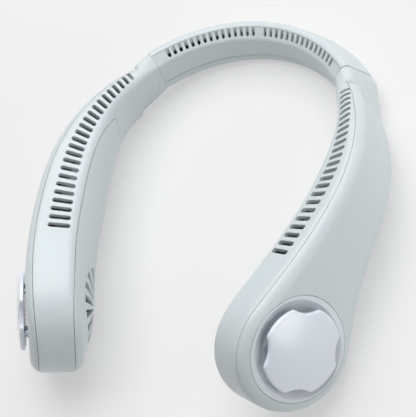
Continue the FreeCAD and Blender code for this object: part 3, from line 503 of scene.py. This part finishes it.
class NECKFAN_OT_casing(Operator):
    """Finish the casing pieces of both arms and of the neck band"""

    bl_idname = "neckfan.casing"
    bl_label = "Casing"

    def execute(self, context):
        shell = moulded_plastic("shell_plastic", colours().shell, **SATIN)
        dress(shell, *both(*ARM_SHELLS), *BAND_SHELLS)
        # The inlet rings get a paler copy of the shell plastic, partly painted light that lifts the
        # shade in the dish under the cap.
        dress(moulded_plastic("ring_plastic_with_painted_light", colours().ring, **SATIN), *both("inlet_ring"))
        return {"FINISHED"}


class NECKFAN_OT_sleeves(Operator):
    """Model the soft ribbed sleeves over the shoulder hinges"""

    bl_idname = "neckfan.sleeves"
    bl_label = "Shoulder sleeves"

    def execute(self, context):
        size = context.scene.neck_fan_sleeve
        rubber = silicone("sleeve_silicone", colours().sleeve)
        for side, sign in zip(SIDES, (1, -1)):
            node = side + "_joint_sleeve"
            arm_shells = [side + "_" + shell for shell in ARM_SHELLS]
            casing = merged_copy(side + "_shoulder_casing", *BAND_SHELLS, *arm_shells)
            skin = merged_copy(side + "_sleeve_skin", node)
            mould_skin(skin, size)
            cling_skin(skin, casing, size)
            bpy.data.objects.remove(casing)
            bpy.ops.object.shade_smooth()
            skin.data.materials.append(rubber)
            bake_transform(skin)
            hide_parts(node)
        return {"FINISHED"}


class NECKFAN_OT_caps(Operator):
    """Finish the inlet caps"""

    bl_idname = "neckfan.caps"
    bl_label = "Inlet caps"

    def execute(self, context):
        dress(moulded_plastic("cap_plastic", colours().cap, **GLOSSY), *both("inlet_cap"))
        return {"FINISHED"}


class NECKFAN_OT_button(Operator):
    """Model the dished power button"""

    bl_idname = "neckfan.button"
    bl_label = "Power button"

    def execute(self, context):
        size = context.scene.neck_fan_button
        press = next(joint for joint in frame["joints"] if joint["name"] == "power_button_press")
        turn = (-Vector(press["axis"])).to_track_quat("Z", "Y")
        low, high = turned_box("left_power_button", turn)
        middle = (low + high) / 2
        knob_height = size.depth - size.flange_height + size.proud
        dish_radius = size.radius - size.rim

        bpy.ops.object.select_all(action="DESELECT")
        bpy.ops.mesh.primitive_circle_add(vertices=BUTTON_SIDES, radius=size.flange_radius,
                                          fill_type="NGON")
        button = context.active_object
        button.name = "dished_button"
        bpy.ops.object.mode_set(mode="EDIT")
        bpy.ops.mesh.select_mode(type="FACE")
        bpy.ops.mesh.select_all(action="SELECT")
        bpy.ops.transform.translate(value=(0, 0, -size.depth))
        bpy.ops.mesh.extrude_region_move(TRANSFORM_OT_translate={"value": (0, 0, size.flange_height)})
        bpy.ops.mesh.inset(thickness=size.flange_radius - size.radius)
        bpy.ops.mesh.extrude_region_move(TRANSFORM_OT_translate={"value": (0, 0, knob_height)})
        bpy.ops.mesh.inset(thickness=size.rim)
        for width, fall in DISH_RINGS:
            bpy.ops.mesh.inset(thickness=dish_radius * width, depth=-size.hollow * fall)
        bpy.ops.mesh.select_all(action="SELECT")
        bpy.ops.mesh.fill_holes(sides=0)
        bpy.ops.mesh.normals_make_consistent(inside=False)
        bpy.ops.object.mode_set(mode="OBJECT")

        button.rotation_mode = "QUATERNION"
        button.rotation_quaternion = turn
        button.location = turn @ Vector((middle.x, middle.y, low.z + size.depth))
        bpy.ops.object.transform_apply(location=True, rotation=True, scale=True)
        edges = button.modifiers.new("rounded_rim", "BEVEL")
        edges.width = size.rounding
        edges.segments = RIM_SEGMENTS
        edges.angle_limit = RIM_ANGLE
        apply_modifiers(button)
        bpy.ops.object.shade_smooth_by_angle(angle=SMOOTH_ANGLE)
        button.data.materials.append(bpy.data.materials["cap_plastic"])
        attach(button, press["child"])
        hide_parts("left_power_button")
        return {"FINISHED"}


class NECKFAN_OT_inner(Operator):
    """Finish the hinge, blower and motor pieces inside"""

    bl_idname = "neckfan.inner"
    bl_label = "Inner pieces"

    def execute(self, context):
        tone = colours()
        dress(moulded_plastic("dark_plastic", tone.dark, **MATT),
              *both("blower_housing", "impeller"), "left_tactile_switch", "left_switch_plunger")
        dress(moulded_plastic("hinge_nylon", tone.nylon, **MATT), *both("hinge_yoke", "hinge_tongue"))
        dress(turned_metal("turned_steel", tone.steel, roughness=0.3),
              *both("hinge_pin", "motor_shaft"), "left_board_screws")
        dress(turned_metal("zinc_flake", tone.zinc, roughness=0.6), *both("housing_screws"))
        dress(turned_metal("magnet_metal", tone.magnet, roughness=0.5, pores=0.3),
              *both("magnet_ring"))
        dress(turned_metal("sintered_bronze", tone.bronze, roughness=0.4, pores=0.4),
              *both("shaft_bearing"))
        dress(windings("stator_windings", tone.copper, tone.iron), *both("motor_stator"))
        return {"FINISHED"}


class NECKFAN_OT_electrics(Operator):
    """Finish the batteries, boards, lenses, socket and wires"""

    bl_idname = "neckfan.electrics"
    bl_label = "Electrics"

    def execute(self, context):
        tone = colours()
        dress(pouch_foil("cell_foil", tone.foil), *both("battery_cell"))
        dress(closed_foam("cell_foam", tone.foam), *both("battery_pad"))
        dress(circuit_board("board_laminate", tone.board, tone.copper),
              "left_control_board", "left_charge_board")
        dress(light_pipe("lens_plastic", tone.lens, tone.lens_core), "left_status_lenses")
        dress(turned_metal("socket_plating", tone.plating, roughness=0.25), "left_charging_socket")
        dress(wire_bundle("wire_insulation", tone.wire, tone.live_wire), "wire_harness")
        return {"FINISHED"}


class NECKFAN_OT_stage(Operator):
    """Add the floor, the lights and the photograph's camera"""

    bl_idname = "neckfan.stage"
    bl_label = "Stage"

    def execute(self, context):
        stage = context.scene.neck_fan_stage
        bpy.ops.object.select_all(action="DESELECT")
        bpy.ops.mesh.primitive_plane_add(size=stage.floor_width)
        floor = context.active_object
        floor.name = "floor"
        floor.data.materials.append(studio_floor("floor_paint", colours().floor))

        world = bpy.data.worlds.new("studio")
        world.use_nodes = True
        sky = world.node_tree.nodes["Background"]
        sky.inputs["Color"].default_value = (1, 1, 1, 1)
        sky.inputs["Strength"].default_value = stage.sky
        context.scene.world = world
        add_lamp("key", stage.key_place, stage.key_width, stage.key_power)
        add_lamp("fill", stage.fill_place, stage.fill_width, stage.fill_power)

        seen = context.scene.neck_fan_view
        back = Vector((math.sin(seen.azimuth) * math.cos(seen.elevation),
                       -math.cos(seen.azimuth) * math.cos(seen.elevation), math.sin(seen.elevation)))
        bpy.ops.object.camera_add(location=Vector(seen.aim) + back * seen.distance)
        camera = context.active_object
        camera.rotation_mode = "QUATERNION"
        level = (-back).to_track_quat("-Z", "Y").to_matrix()
        camera.rotation_quaternion = (level @ Matrix.Rotation(seen.roll, 3, "Z")).to_quaternion()
        camera.data.sensor_fit = "AUTO"
        camera.data.sensor_width = SENSOR_WIDTH
        camera.data.lens = seen.focal_pixels * SENSOR_WIDTH / max(PICTURE_WIDTH, PICTURE_HEIGHT)
        camera.data.clip_start = 0.05
        context.scene.camera = camera
        context.scene.view_settings.view_transform = "Standard"
        return {"FINISHED"}


class NECKFAN_PT_panel(Panel):
    """Neck fan pieces"""

    bl_idname = "NECKFAN_PT_panel"
    bl_label = "Neck fan"
    bl_space_type = "VIEW_3D"
    bl_region_type = "UI"
    bl_category = "Neck fan"

    def draw(self, context):
        for piece in PIECES:
            self.layout.operator(piece.bl_idname)


PIECES = (NECKFAN_OT_casing, NECKFAN_OT_sleeves, NECKFAN_OT_caps, NECKFAN_OT_button, NECKFAN_OT_inner,
          NECKFAN_OT_electrics, NECKFAN_OT_stage)
GROUPS = {"neck_fan_colours": NeckFanColours, "neck_fan_sleeve": NeckFanSleeve,
          "neck_fan_button": NeckFanButton, "neck_fan_stage": NeckFanStage, "neck_fan_view": NeckFanView}
CLASSES = (*GROUPS.values(), *PIECES, NECKFAN_PT_panel)


def register():
    for kind in CLASSES:
        bpy.utils.register_class(kind)
    for name, group in GROUPS.items():
        setattr(bpy.types.Scene, name, PointerProperty(type=group))


def unregister():
    for name in GROUPS:
        delattr(bpy.types.Scene, name)
    for kind in reversed(CLASSES):
        bpy.utils.unregister_class(kind)


def main():
    register()
    for piece in PIECES:
        group, call = piece.bl_idname.split(".")
        getattr(getattr(bpy.ops, group), call)()


if __name__ == "__main__":
    main()
